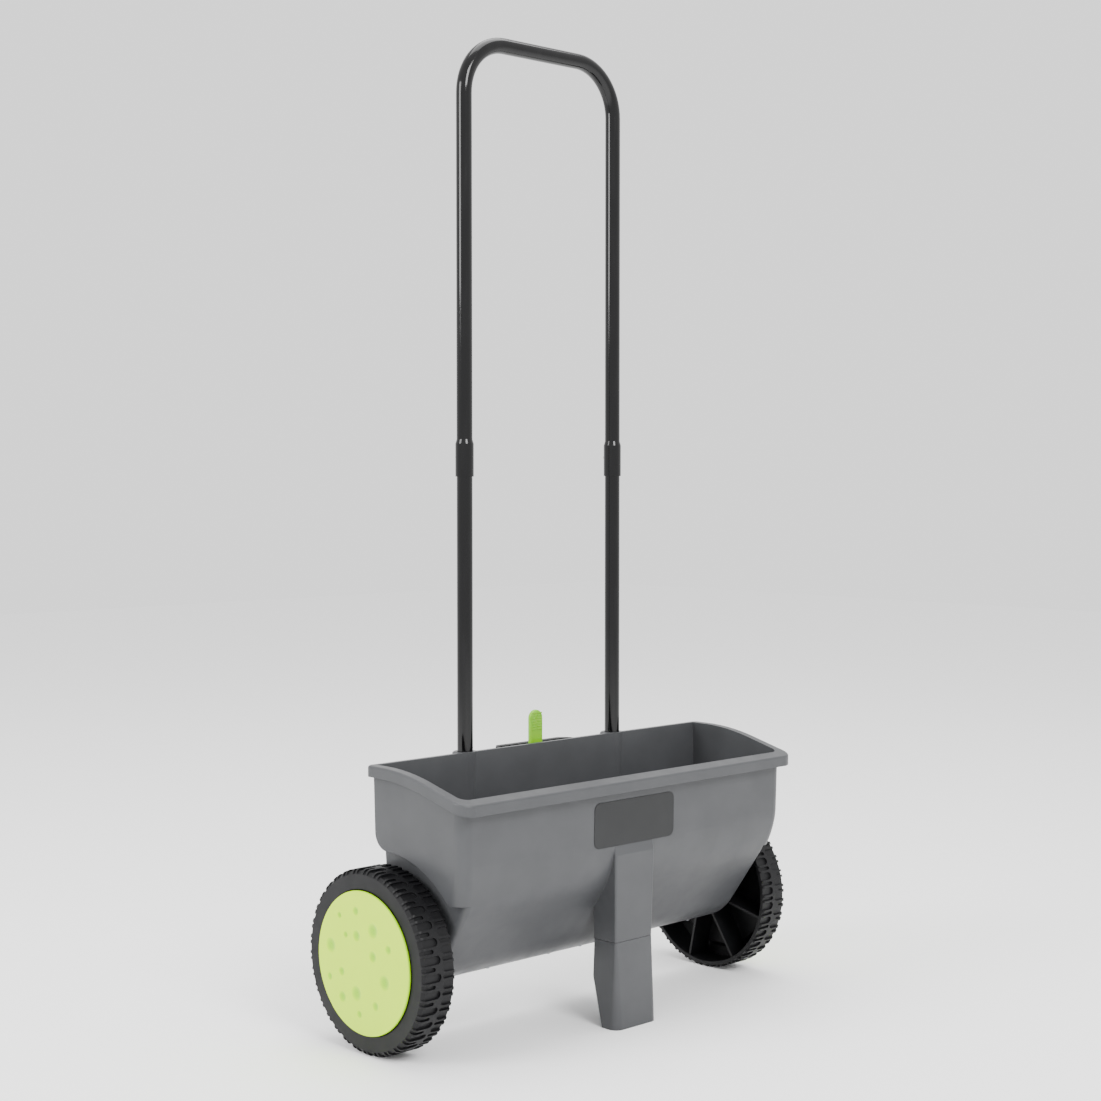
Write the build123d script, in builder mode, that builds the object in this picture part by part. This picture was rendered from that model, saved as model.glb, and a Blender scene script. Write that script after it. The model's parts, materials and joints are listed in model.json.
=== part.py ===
from build123d import *
from math import cos, hypot, radians, sin, tan
import os

os.makedirs("parts", exist_ok=True)

# Lawn drop spreader in millimetres. +Z is up, the pusher walks behind on +Y,
# and X runs along the axle. The origin is on the ground at the middle of the footprint.

# Wheels
wheel_radius = 100.0
wheel_width = 41.0
tread_depth = 2.5
tread_pitches = 34
wheel_gap = 8.8
cap_radius = 77.4
cap_proud = 3.0
cap_clearance = 0.3
hub_radius = 15.0
rib_count = 8

# Wheel section and cap
cap_recess = 6.4
cap_thickness = 2.6
web_thickness = 3.0
sidewall = 3.5
rib_thickness = 3.0
rib_angle = 15.0
rim_wall = 4.5
shoulder_radius = 6.0
shoulder_slope = 3.4
inner_shoulder = 2.0
long_slot = 22.1
short_slot = 14.7
long_slot_width = 9.0
short_slot_width = 4.2
inner_slot = 16.5
dimple_depth = 1.3
dimples = [
    (39.8, 45.6, 3.6),
    (11.6, 54.6, 5.0),
    (28.9, 26.3, 3.6),
    (10.0, 28.2, 6.2),
    (-17.6, 38.1, 8.5),
    (54.9, 10.6, 8.5),
    (-43.3, 22.4, 5.0),
    (-17.4, 10.4, 6.2),
    (35.9, -14.8, 5.0),
    (57.0, -24.1, 4.2),
    (-37.0, -13.7, 8.5),
    (34.8, -42.1, 6.2),
    (10.5, -34.0, 8.5),
    (-22.0, -41.7, 5.0),
    (5.5, -55.7, 4.2),
]

# Axle and its fits
axle_radius = 5.0
bush_flange = 1.8
bush_radius = 7.5
washer_thickness = 1.2
washer_radius = 9.0
clip_thickness = 1.2
axle_end = 2.0
drive_pin_radius = 2.0
drive_pin_length = 26.0
running_clearance = 0.05
static_clearance = 0.05
face_clearance = 0.3

# Hopper, measured from the axle centre
hopper_length = 481.0
wall = 3.2
top_length = 514.6
arch_clearance = 14.0
arch_level = 70.0
arch_corner = 20.0
arch_crook = 8.0
front_top_y = -121.6
front_knee_y = -118.4
front_knee_h = 82.0
front_toe_y = -49.5
front_toe_h = -18.9
lip_y = -5.0
back_low_y = 22.0
back_mid_y = 22.6
back_mid_h = 70.0
back_top_y = 26.4
knee_radius = 105.0
toe_radius = 60.0
base_corner = 8.0
corner_radius = 14.0
low_corner_radius = 7.0
cavity_corner_radius = 2.0
end_draft = 2.5
shoulder_taper = 1.2
shoulder_h = 112.0
shoulder_radius_x = 150.0
ledge_taper = 8.2
skirt_h = -35.0
floor_h = -24.0
floor_thickness = 4.0
floor_corner = 6.0
boss_radius = 12.0
boss_proud = 1.6
boss_inward = 6.0

# Rim
rim_top_h = 206.0
rim_drop_radius = 290.0
rim_drop_angle = 14.5
rim_flat_front_y = 5.0
rim_depth = 12.0
rim_front_overhang = 10.4
rim_side_overhang = 8.2
rim_back_overhang = 3.6
rim_corner = 17.0
rim_skin = 3.0
rim_round = 2.6

# Front pillar and foot
pillar_half_width = 29.5
pillar_side_draft = 1.1
pillar_front_y = -118.6
pillar_front_lean = 1.3
pillar_back_y = -84.5
pillar_shoulder_h = 96.0
pillar_fade_h = 106.5
foot_screw_x = 14.0
foot_screw_h = 6.0
foot_screw_radius = 1.8
foot_screw_head = 3.4
seam_h = -2.2
seam_gap = 0.4
foot_half_width = 34.0
foot_front_y = -124.0
foot_heel_y = -101.5
foot_heel_h = -42.0
foot_top_corner = 2.5
foot_bottom_corner = 11.0
foot_wall = 10.0
spigot_height = 16.0

# Discharge openings and slide
opening_pitch = 40.0
opening_margin = 30.0
opening_length = 10.0
opening_width = 8.0
floor_slot_width = 14.0
channel_front_y = -8.0
plate_thickness = 2.0
shutter_thickness = 1.5
rail_gap = 0.5
slide_clearance = 0.25
rail_leg = 5.0
rail_lip = 3.2
rail_thickness = 2.2
rail_screw_count = 5
rail_screw_radius = 1.5
plate_fit = 0.15
ear_margin = 5.0
pin_shank_radius = 1.6
rivet_head = 1.2
tab_width = 18.0
ear_y = 35.0
ear_thickness = 2.0
shutter_pin_radius = 2.5
shutter_pin_h = -24.0

# Agitator
agitator_radius = 16.0
agitator_hub_radius = 8.5
agitator_fins = 5
fin_thickness = 2.6
fin_gap = 9.0
agitator_pin_inset = 5.0
agitator_pin_radius = 1.5

# Lever and its guide
lever_pivot_h = 6.0
lever_swing = 13.0
lever_boss_end_y = 39.4
lever_boss_radius = 9.0
lever_washer = 1.2
lever_thickness = 5.0
lever_width = 20.0
lever_neck_width = 15.0
lever_top_h = 242.0
lever_bolt_radius = 3.0
lever_flange = 3.0
lever_flange_wall = 2.2
lever_eye_radius = 9.0
lever_round = 1.6
lever_bolt_reach = 14.0
boss_rib_rise = 26.0
face_play = 0.1
fork_reach = 8.0
fork_root = 6.5
grip_rows = 7
grip_pitch = 3.2
grip_length = 7.0
grip_gap = 1.6
grip_height = 1.5
grip_proud = 0.7
guide_top_h = 203.4
guide_thickness = 3.6
guide_wall = 4.0
guide_back_reach = 11.0
guide_flange_drop = 26.0
guide_screw_x = 44.0
guide_screw_radius = 2.0
guide_screw_reach = 5.5
notch_count = 9
notch_radius = 1.3

# Handle
handle_height = 1115.0
tube_radius = 9.0
tube_wall = 0.6
tube_spacing = 237.6
tube_y = 33.0
bend_radius = 60.0
socket_depth = 112.0
socket_wall = 3.4
socket_fit = 0.1
collar_low_z = 617.0
collar_length = 42.0
collar_taper = 5.0
collar_wall = 1.4
button_radius = 3.5
button_proud = 2.6
button_above_collar = 22.0
button_fit = 0.25
button_foot = 4.4
collar_fit = 0.1
tube_screw_h = 150.0
tube_screw_radius = 2.2
tube_pad_radius = 6.5
tube_pad_proud = 1.8
spring_thickness = 0.8
spring_width = 6.0
spring_length = 46.0

# Places worked out from the sizes above
axle_z = wheel_radius
front_reach = -front_top_y + rim_front_overhang
axle_y = (front_reach - wheel_radius) / 2
half_low = hopper_length / 2
half_top = top_length / 2
wheel_inner_x = half_low + wheel_gap
wheel_outer_x = wheel_inner_x + wheel_width
arch_radius = wheel_radius + arch_clearance
far = 400.0
over_h = rim_top_h + 40
tube_x = tube_spacing / 2
lever_y = lever_boss_end_y + lever_washer
lever_back_y = lever_y + lever_thickness
slide_arm = lever_pivot_h - shutter_pin_h
slide_travel = slide_arm * radians(lever_swing)
plate_top_h = floor_h - floor_thickness
plate_low_h = plate_top_h - plate_thickness
shutter_top_h = plate_low_h - slide_clearance
shutter_low_h = shutter_top_h - shutter_thickness
channel_back_y = back_low_y - wall
discharge_y = (channel_front_y + channel_back_y) / 2
shutter_width = channel_back_y - channel_front_y - 2 * (rail_leg + rail_gap)
opening_count = int((hopper_length - 2 * opening_margin) / opening_pitch) + 1
row_length = (opening_count - 1) * opening_pitch
shutter_length = row_length + opening_length + 16
plate_length = shutter_length + 2 * slide_travel + 4
tab_gap = tab_width / 2 + slide_travel + 2.0
end_wall_x = half_low - arch_level * tan(radians(end_draft))
boss_face_x = end_wall_x + boss_proud
bush_face_x = boss_face_x + bush_flange
washer_face_x = bush_face_x + face_clearance + washer_thickness
hub_face_x = washer_face_x + face_clearance
web_outer_x = wheel_outer_x - cap_recess
web_inner_x = web_outer_x - web_thickness
boss_inner_x = end_wall_x - wall - boss_inward
agitator_half = boss_inner_x - 3.0
agitator_pin_x = row_length / 2 - agitator_pin_inset
rail_screw_step = (plate_length / 2 - tab_gap - 16) / ((rail_screw_count - 1) / 2)
rail_screw_xs = [
    sign * (tab_gap + 8 + index * rail_screw_step)
    for sign in (-1, 1)
    for index in range((rail_screw_count + 1) // 2)
]
rail_screw_ys = (channel_front_y + rail_leg / 2, channel_back_y - rail_leg / 2)
rail_screw_places = [(x, y) for x in rail_screw_xs for y in rail_screw_ys]
button_h = collar_low_z + button_above_collar - axle_z
socket_low_h = rim_top_h - socket_depth
guide_front_y = back_top_y + rim_back_overhang + seam_gap
guide_screw_h = guide_top_h - guide_flange_drop + 7
guide_sweep = (guide_top_h - lever_pivot_h) * tan(radians(lever_swing))
guide_slot_half = guide_sweep + lever_width / 2 / cos(radians(lever_swing)) + 1
guide_half = guide_slot_half + guide_wall

side = Plane(origin=(0, axle_y, axle_z), x_dir=(0, 1, 0), z_dir=(1, 0, 0))
front = Plane(origin=(0, axle_y, axle_z), x_dir=(1, 0, 0), z_dir=(0, -1, 0))


def level(height):
    """Plan plane at a height above the axle centre, with +Y to the back."""
    return Plane(origin=(0, axle_y, axle_z + height))


def across(x):
    """Plane that faces +X at a place along the axle."""
    return Plane(origin=(x, axle_y, axle_z), x_dir=(0, 1, 0), z_dir=(1, 0, 0))


def facing_back(y):
    """Plane that faces +Y at a distance behind the axle, with -X to its right."""
    return Plane(origin=(0, axle_y + y, axle_z), x_dir=(-1, 0, 0), z_dir=(0, 1, 0))


def keep(part, name):
    """Label a finished piece and write its file."""
    part.label = name
    export_step(part, f"parts/{name}.step")


def on_rim_border(edge):
    """An edge of the rim's top that lies on its outer border."""
    middle = edge.center()
    back_y = back_top_y + rim_back_overhang
    outside_y = middle.Y - axle_y < front_top_y - 4 or middle.Y - axle_y > back_y - 1
    return abs(middle.X) > half_top or outside_y


def is_top_corner(edge):
    """An upright front edge at an end of the hopper's wide upper body."""
    middle = edge.center()
    rise = abs((edge @ 1).Z - (edge @ 0).Z)
    return abs(middle.X) > half_top - 14 and middle.Y - axle_y < lip_y - 8 and rise > 2


def is_low_corner(edge):
    """An edge between the front wall and the end of the narrow lower body."""
    middle = edge.center()
    rise = abs((edge @ 1).Z - (edge @ 0).Z)
    low = middle.Z - axle_z < arch_level
    on_end = half_low - 14 < abs(middle.X) < half_low
    return low and on_end and middle.Y - axle_y < lip_y - 8 and rise > 2


def is_pillar_corner(edge):
    """An upright front edge of the pillar."""
    middle = edge.center()
    rise = abs((edge @ 1).Z - (edge @ 0).Z)
    return middle.Y - axle_y < front_top_y + 8 and rise > 2


# Hopper walls: the front wall is one profile from rim to trough, and the ends overhang the wheels

wall_points = [
    (front_top_y, over_h),
    (front_knee_y, front_knee_h),
    (front_toe_y, front_toe_h),
    (lip_y, skirt_h),
    (back_low_y, skirt_h),
    (back_mid_y, back_mid_h),
    (back_top_y, over_h),
]
wall_radii = [0, knee_radius, toe_radius, 0, base_corner, 0, 0]


def taken_in(points, distance):
    """Corners of a closed anticlockwise outline, each moved inwards by a distance."""
    moved = []
    for index, point in enumerate(points):
        before = Vector(*point) - Vector(*points[index - 1])
        after = Vector(*points[(index + 1) % len(points)]) - Vector(*point)
        left_before = Vector(-before.Y, before.X).normalized()
        left_after = Vector(-after.Y, after.X).normalized()
        shift = (left_before + left_after) * (distance / (1 + left_before.dot(left_after)))
        moved.append((point[0] + shift.X, point[1] + shift.Y))
    return moved


def tub(inset, low_corner):
    """Body of the hopper, or its cavity when the outlines are taken in by the wall."""
    draft = tan(radians(end_draft))
    radii = [max(radius - inset, 0) for radius in wall_radii]
    with BuildSketch(side) as profile:
        with BuildLine():
            FilletPolyline(*taken_in(wall_points, inset), radius=radii, close=True)
        make_face()
        if inset:
            with Locations((0, floor_h - far)):
                Rectangle(2 * far, 2 * far, mode=Mode.SUBTRACT)
            fillet(profile.vertices().group_by(Axis.Y)[0], floor_corner)
    wide = half_top - inset
    with BuildSketch(front) as ends:
        with BuildLine():
            FilletPolyline(
                (wide, over_h),
                (wide - shoulder_taper, shoulder_h),
                (wide - ledge_taper, arch_level - 12),
                (wide - ledge_taper, -far),
                (-wide + ledge_taper, -far),
                (-wide + ledge_taper, arch_level - 12),
                (-wide + shoulder_taper, shoulder_h),
                (-wide, over_h),
                radius=[0, shoulder_radius_x, 0, 0, 0, 0, shoulder_radius_x, 0],
                close=True,
            )
        make_face()
    arch = arch_radius + inset
    ledge = arch_level + inset
    corner = arch_corner - inset
    heel_top = arch + corner + 1
    heel_y = back_mid_y - inset + (heel_top - back_mid_h) * (back_top_y - back_mid_y) / (over_h - back_mid_h)
    with BuildSketch(side) as under_arch:
        Circle(arch)
        with Locations((0, ledge - far)):
            Rectangle(2 * far, 2 * far)
        with Locations((far, arch - far)):
            Rectangle(2 * far, 2 * far)
        with Locations((heel_y + far, heel_top - far)):
            Rectangle(2 * far, 2 * far)
        crook = (-((arch**2 - ledge**2) ** 0.5), ledge)
        fillet(under_arch.vertices().sort_by_distance(crook)[0], arch_crook - inset)
        heel = (heel_y, arch)
        fillet(under_arch.vertices().sort_by_distance(heel)[0], corner)
    narrow = half_low - inset
    with BuildSketch(front) as low_ends:
        with BuildLine():
            Polyline(
                (narrow + arch_radius * draft, arch_level + arch_radius),
                (narrow - arch_level * draft, 0),
                (narrow - (arch_level + far) * draft, -far),
                (-narrow + (arch_level + far) * draft, -far),
                (-narrow - arch_radius * draft, arch_level + arch_radius),
                close=True,
            )
        make_face()
    with BuildPart() as upper:
        extrude(profile.sketch, amount=far, both=True)
        extrude(ends.sketch, amount=far, both=True, mode=Mode.INTERSECT)
        split(bisect_by=level(ledge), keep=Keep.TOP)
        fillet(upper.edges().filter_by(is_top_corner), corner_radius - inset)
    with BuildPart() as arches:
        extrude(under_arch.sketch, amount=far, both=True)
        extrude(low_ends.sketch, amount=far, both=True, mode=Mode.SUBTRACT)
    with BuildPart() as lower:
        extrude(profile.sketch, amount=far, both=True)
        extrude(low_ends.sketch, amount=far, both=True, mode=Mode.INTERSECT)
        split(bisect_by=level(ledge), keep=Keep.BOTTOM)
        fillet(lower.edges().filter_by(is_low_corner), low_corner)
    with BuildPart() as whole:
        add(upper.part)
        add(arches.part, mode=Mode.SUBTRACT)
        add(lower.part)
    return whole.part


def below_rim(drop):
    """Everything under the curved top of the rim, lowered by a distance."""
    turn = radians(rim_drop_angle)
    arc_end = (rim_flat_front_y - rim_drop_radius * sin(turn), rim_top_h - rim_drop_radius * (1 - cos(turn)))
    end_y = -front_reach - 20
    end_h = arc_end[1] - (arc_end[0] - end_y) * tan(turn)
    back_y = tube_y + 60
    with BuildSketch(side) as region:
        with BuildLine():
            flat_run = Line((back_y, rim_top_h), (rim_flat_front_y, rim_top_h))
            fall = TangentArc(flat_run @ 1, arc_end, tangent=(-1, 0))
            slope = Line(fall @ 1, (end_y, end_h))
            Polyline(slope @ 1, (end_y, -far), (back_y, -far), flat_run @ 0)
        make_face()
    with BuildPart() as solid:
        extrude(region.sketch, amount=far, both=True)
    return solid.part.moved(Location((0, 0, -drop)))


def rim_outline(inset):
    """Plan of the rim, with a round seat behind each handle tube."""
    with BuildSketch(level(0)) as plan:
        depth = front_reach + back_top_y + rim_back_overhang - 2 * inset
        middle_y = (back_top_y + rim_back_overhang - front_reach) / 2
        with Locations((0, middle_y)):
            Rectangle(2 * (half_top + rim_side_overhang - inset), depth)
        fillet(plan.vertices().group_by(Axis.Y)[0], rim_corner - inset)
        fillet(plan.vertices().group_by(Axis.Y)[-1], rim_corner / 2 - inset / 2)
        with Locations((tube_x, tube_y), (-tube_x, tube_y)):
            Circle(tube_radius + socket_wall + 2.4 - inset)
    return plan.sketch


outer_tub = tub(0, low_corner_radius)
cavity = tub(wall, cavity_corner_radius)

with BuildPart() as rim:
    extrude(rim_outline(0), amount=over_h)
    add(below_rim(0), mode=Mode.INTERSECT)
    add(below_rim(rim_depth), mode=Mode.SUBTRACT)
    rim_tops = rim.faces().filter_by(lambda face: face.normal_at().Z > 0.9)
    fillet(rim_tops.edges().filter_by(on_rim_border), rim_round)

with BuildPart() as rim_hollow:
    extrude(rim_outline(rim_skin), amount=over_h)
    add(below_rim(rim_skin), mode=Mode.INTERSECT)
    add(below_rim(rim_depth + 8), mode=Mode.SUBTRACT)
    add(outer_tub, mode=Mode.SUBTRACT)
    with BuildSketch(level(0)) as seats:
        with Locations((tube_x, tube_y), (-tube_x, tube_y)):
            Circle(tube_radius + socket_wall)
    extrude(seats.sketch, amount=over_h, mode=Mode.SUBTRACT)

# Front pillar, hollow from below, that carries the foot

pillar_slope = tan(radians(pillar_front_lean))
wall_slope = (front_knee_y - front_top_y) / (over_h - front_knee_h)
shoulder_y = pillar_front_y - (pillar_shoulder_h - seam_h) * pillar_slope
fade_y = front_knee_y - (pillar_fade_h - front_knee_h) * wall_slope
fade_rise = (pillar_fade_h - pillar_shoulder_h) / (fade_y - shoulder_y)
pillar_top_h = pillar_fade_h + fade_rise
pillar_rise = pillar_top_h - seam_h
pillar_top_half = pillar_half_width + pillar_rise * tan(radians(pillar_side_draft))
pocket_half = pillar_half_width - wall
pocket_front_y = pillar_front_y + wall
pocket_back_y = pillar_back_y - wall
pocket_back_h = 33.0
pocket_top_h = 74.0

with BuildPart() as pillar:
    with BuildSketch(side) as pillar_side:
        with BuildLine():
            Polyline(
                (pillar_front_y, seam_h),
                (shoulder_y, pillar_shoulder_h),
                (fade_y + 1, pillar_top_h),
                (front_knee_y + 4, pillar_top_h),
                (pillar_back_y, pocket_back_h),
                (pillar_back_y, seam_h),
                close=True,
            )
        make_face()
    extrude(pillar_side.sketch, amount=far, both=True)
    with BuildSketch(front) as pillar_front:
        with BuildLine():
            Polyline(
                (-pillar_half_width, seam_h),
                (-pillar_top_half, pillar_top_h),
                (pillar_top_half, pillar_top_h),
                (pillar_half_width, seam_h),
                close=True,
            )
        make_face()
    extrude(pillar_front.sketch, amount=far, both=True, mode=Mode.INTERSECT)
    pillar_edges = pillar.edges().filter_by(is_pillar_corner)
    fillet(pillar_edges, foot_top_corner)

with BuildPart() as pillar_pocket:
    with BuildSketch(side) as pocket_side:
        with BuildLine():
            Polyline(
                (pocket_front_y, seam_h - 1),
                (pocket_front_y - pocket_top_h * pillar_slope, pocket_top_h),
                (pocket_back_y, pocket_back_h),
                (pocket_back_y, seam_h - 1),
                close=True,
            )
        make_face()
    extrude(pocket_side.sketch, amount=pocket_half, both=True)

# Hopper

tubes = [(tube_x, tube_y), (-tube_x, tube_y)]
tube_sides = {"left": tube_x, "right": -tube_x}
socket_radius = tube_radius + socket_wall
guide_boss_y = guide_front_y

with BuildPart() as hopper:
    add(outer_tub)
    add(below_rim(0), mode=Mode.INTERSECT)
    add(rim.part)
    add(pillar.part)
    add(cavity, mode=Mode.SUBTRACT)
    add(rim_hollow.part, mode=Mode.SUBTRACT)
    add(pillar_pocket.part, mode=Mode.SUBTRACT)
    # Sockets for the handle tubes stand through the back wall, closed at the bottom
    with BuildSketch(level(socket_low_h - wall)) as socket_plan:
        with Locations(*tubes):
            Circle(socket_radius)
        with Locations(*[(x, (y + back_mid_y) / 2) for x, y in tubes]):
            Rectangle(2 * socket_radius, tube_y - back_mid_y)
    extrude(socket_plan.sketch, amount=socket_depth + wall)
    # Pads behind the sockets, bosses for the guide and the lever, and the lever boss's rib
    with BuildSketch(facing_back(tube_y)) as pads:
        with Locations((tube_x, tube_screw_h), (-tube_x, tube_screw_h)):
            Circle(tube_pad_radius)
    extrude(pads.sketch, amount=socket_radius + tube_pad_proud)
    with BuildSketch(facing_back(back_mid_y)) as guide_bosses:
        with Locations((guide_screw_x, guide_screw_h), (-guide_screw_x, guide_screw_h)):
            Circle(guide_screw_radius + 2.6)
    extrude(guide_bosses.sketch, amount=guide_boss_y - back_mid_y)
    with BuildSketch(facing_back(back_low_y - wall / 2)) as lever_boss:
        with Locations((0, lever_pivot_h)):
            Circle(lever_boss_radius)
    extrude(lever_boss.sketch, amount=lever_boss_end_y - back_low_y + wall / 2)
    with BuildSketch(side) as boss_rib:
        with BuildLine():
            Polyline(
                (back_low_y - 1, lever_pivot_h),
                (lever_boss_end_y - 2, lever_pivot_h),
                (lever_boss_end_y - 2, lever_pivot_h + lever_boss_radius + 2),
                (back_low_y - 1, lever_pivot_h + lever_boss_radius + boss_rib_rise),
                close=True,
            )
        make_face()
    extrude(boss_rib.sketch, amount=wall / 2, both=True)
    # Bearing bosses in both ends, bored for the bushes
    for sign in (-1, 1):
        with BuildSketch(across(sign * boss_inner_x)) as bearing_boss:
            Circle(boss_radius)
        extrude(bearing_boss.sketch, amount=sign * (boss_face_x - boss_inner_x))
        with BuildSketch(across(sign * (boss_inner_x - 1))) as bearing_bore:
            Circle(bush_radius + static_clearance)
        extrude(bearing_bore.sketch, amount=sign * (wall + boss_inward + 10), mode=Mode.SUBTRACT)
    # Tube bores and the screw holes behind them
    with BuildSketch(level(socket_low_h)) as tube_bores:
        with Locations(*tubes):
            Circle(tube_radius + socket_fit)
    extrude(tube_bores.sketch, amount=over_h, mode=Mode.SUBTRACT)
    with BuildSketch(facing_back(tube_y)) as tube_screw_holes:
        with Locations((tube_x, tube_screw_h), (-tube_x, tube_screw_h)):
            Circle(tube_screw_radius + static_clearance)
    extrude(tube_screw_holes.sketch, amount=3 * socket_radius, mode=Mode.SUBTRACT)
    # Blind holes for the guide screws and the lever bolt
    with BuildSketch(facing_back(guide_boss_y)) as guide_holes:
        with Locations((guide_screw_x, guide_screw_h), (-guide_screw_x, guide_screw_h)):
            Circle(guide_screw_radius + static_clearance)
    extrude(guide_holes.sketch, amount=-guide_screw_reach - 0.4, mode=Mode.SUBTRACT)
    with BuildSketch(facing_back(lever_boss_end_y)) as lever_hole:
        with Locations((0, lever_pivot_h)):
            Circle(lever_bolt_radius + static_clearance)
    extrude(lever_hole.sketch, amount=-lever_bolt_reach - 0.4, mode=Mode.SUBTRACT)
    # Channel under the floor for the metering plate and the slide, and the slot above them
    channel_middle_y = (channel_front_y + channel_back_y) / 2
    with BuildSketch(level(plate_top_h)) as channel:
        with Locations((0, channel_middle_y)):
            Rectangle(plate_length + 2 * face_clearance, channel_back_y - channel_front_y)
    extrude(channel.sketch, amount=-far, mode=Mode.SUBTRACT)
    with BuildSketch(level(plate_top_h)) as floor_slot:
        with Locations((0, discharge_y)):
            Rectangle(row_length + opening_length + 4, floor_slot_width)
    extrude(floor_slot.sketch, amount=floor_thickness + 1, mode=Mode.SUBTRACT)
    with BuildSketch(level(plate_low_h)) as tab_slot:
        with Locations((0, back_low_y)):
            Rectangle(2 * tab_gap, 4 * wall)
    extrude(tab_slot.sketch, amount=-far, mode=Mode.SUBTRACT)
    with BuildSketch(level(plate_top_h)) as rail_holes:
        with Locations(*rail_screw_places):
            Circle(rail_screw_radius + static_clearance)
    extrude(rail_holes.sketch, amount=floor_thickness - 0.8, mode=Mode.SUBTRACT)
    # Holes in the pillar's back wall for the foot screws
    with BuildSketch(facing_back(pillar_back_y + 1)) as foot_holes:
        with Locations((foot_screw_x, foot_screw_h), (-foot_screw_x, foot_screw_h)):
            Circle(foot_screw_radius + static_clearance)
    extrude(foot_holes.sketch, amount=-wall - 2, mode=Mode.SUBTRACT)
keep(hopper.part, "hopper")

# Foot below the seam: a tapered shell with a spigot that plugs into the pillar

foot_top_h = seam_h - seam_gap
spigot_fit = face_clearance
spigot_wall = 2.6


def foot_section(height, half_width, front_y, front_corner, inset):
    """Plan section of the foot, rounder at its front corners than at the back."""
    with BuildSketch(level(height)) as section:
        with Locations((0, (front_y + pillar_back_y) / 2)):
            Rectangle(2 * (half_width - inset), pillar_back_y - front_y - 2 * inset)
        fillet(section.vertices().group_by(Axis.Y)[0], front_corner)
        fillet(section.vertices().group_by(Axis.Y)[-1], foot_top_corner / 2)
    return section.sketch


def foot_block(inset):
    """Tapered block of the foot with its slanted heel, or the hollow inside it."""
    heel_shift = inset * hypot(pillar_back_y - foot_heel_y, foot_heel_h + axle_z) / (foot_heel_h + axle_z)
    bottom_corner = foot_bottom_corner - inset
    with BuildPart() as block:
        add(foot_section(inset - axle_z, foot_half_width, foot_front_y, bottom_corner, inset))
        add(foot_section(foot_top_h, pillar_half_width, pillar_front_y, foot_top_corner, inset))
        loft()
        with BuildSketch(side) as heel_cut:
            with BuildLine():
                Polyline(
                    (pillar_back_y + 20, foot_heel_h),
                    (pillar_back_y - heel_shift, foot_heel_h),
                    (foot_heel_y - heel_shift, -axle_z),
                    (foot_heel_y - heel_shift, -axle_z - 20),
                    (pillar_back_y + 20, -axle_z - 20),
                    close=True,
                )
            make_face()
        extrude(heel_cut.sketch, amount=far, both=True, mode=Mode.SUBTRACT)
    return block.part


with BuildPart() as foot:
    add(foot_block(0))
    add(foot_block(foot_wall), mode=Mode.SUBTRACT)
    # Spigot walls stand in the pillar's pocket, with a web across the mouth to carry them
    with BuildSketch(level(foot_top_h - wall)) as spigot_root:
        with Locations((0, (pillar_front_y + pillar_back_y) / 2)):
            Rectangle(2 * pillar_half_width - wall, pillar_back_y - pillar_front_y - wall)
            Rectangle(
                2 * (pocket_half - spigot_fit - spigot_wall),
                pocket_back_y - pocket_front_y - 2 * (spigot_fit + spigot_wall),
                mode=Mode.SUBTRACT,
            )
    extrude(spigot_root.sketch, amount=wall)
    with BuildSketch(level(foot_top_h)) as spigot:
        with Locations((0, (pocket_front_y + pocket_back_y) / 2)):
            Rectangle(2 * (pocket_half - spigot_fit), pocket_back_y - pocket_front_y - 2 * spigot_fit)
            Rectangle(
                2 * (pocket_half - spigot_fit - spigot_wall),
                pocket_back_y - pocket_front_y - 2 * (spigot_fit + spigot_wall),
                mode=Mode.SUBTRACT,
            )
    extrude(spigot.sketch, amount=spigot_height)
    with BuildSketch(facing_back(pocket_back_y)) as spigot_holes:
        with Locations((foot_screw_x, foot_screw_h), (-foot_screw_x, foot_screw_h)):
            Circle(foot_screw_radius + static_clearance)
    extrude(spigot_holes.sketch, amount=-spigot_fit - spigot_wall - 1, mode=Mode.SUBTRACT)
keep(foot.part, "foot")


def pan_screw(shank_radius, shank_length, head_radius, head_height):
    """Round-headed screw along +Z, its head seated on the XY plane."""
    with BuildPart() as screw:
        with BuildSketch(Plane.XZ):
            with BuildLine():
                FilletPolyline(
                    (0, -shank_length),
                    (shank_radius, -shank_length),
                    (shank_radius, 0),
                    (head_radius, 0),
                    (head_radius, head_height),
                    (0, head_height),
                    radius=[0, 0, 0, 0, head_height * 0.7, 0],
                    close=True,
                )
            make_face()
        revolve(axis=Axis.Z)
    return screw.part


def screws_at(screw, planes):
    """A group of separate screws, one on each plane."""
    return Compound(children=[plane.location * screw for plane in planes])


foot_screw = pan_screw(foot_screw_radius, wall + spigot_fit + spigot_wall, foot_screw_head, 1.8)
foot_screw_planes = [
    Plane(origin=(x, axle_y + pillar_back_y, axle_z + foot_screw_h), z_dir=(0, 1, 0))
    for x in (-foot_screw_x, foot_screw_x)
]
keep(screws_at(foot_screw, foot_screw_planes), "foot_screws")

# Metering plate, rails and shutter under the floor

with BuildPart() as metering_plate:
    with BuildSketch(level(plate_low_h)) as plate_plan:
        with Locations((0, channel_middle_y)):
            Rectangle(plate_length, channel_back_y - channel_front_y - 2 * plate_fit)
        with Locations((0, discharge_y)):
            with GridLocations(opening_pitch, 0, opening_count, 1):
                Rectangle(opening_length, opening_width, mode=Mode.SUBTRACT)
        with Locations(*rail_screw_places):
            Circle(rail_screw_radius + static_clearance, mode=Mode.SUBTRACT)
    extrude(plate_plan.sketch, amount=plate_thickness)
keep(metering_plate.part, "metering_plate")

rail_low_h = shutter_low_h - slide_clearance - rail_thickness


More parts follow.
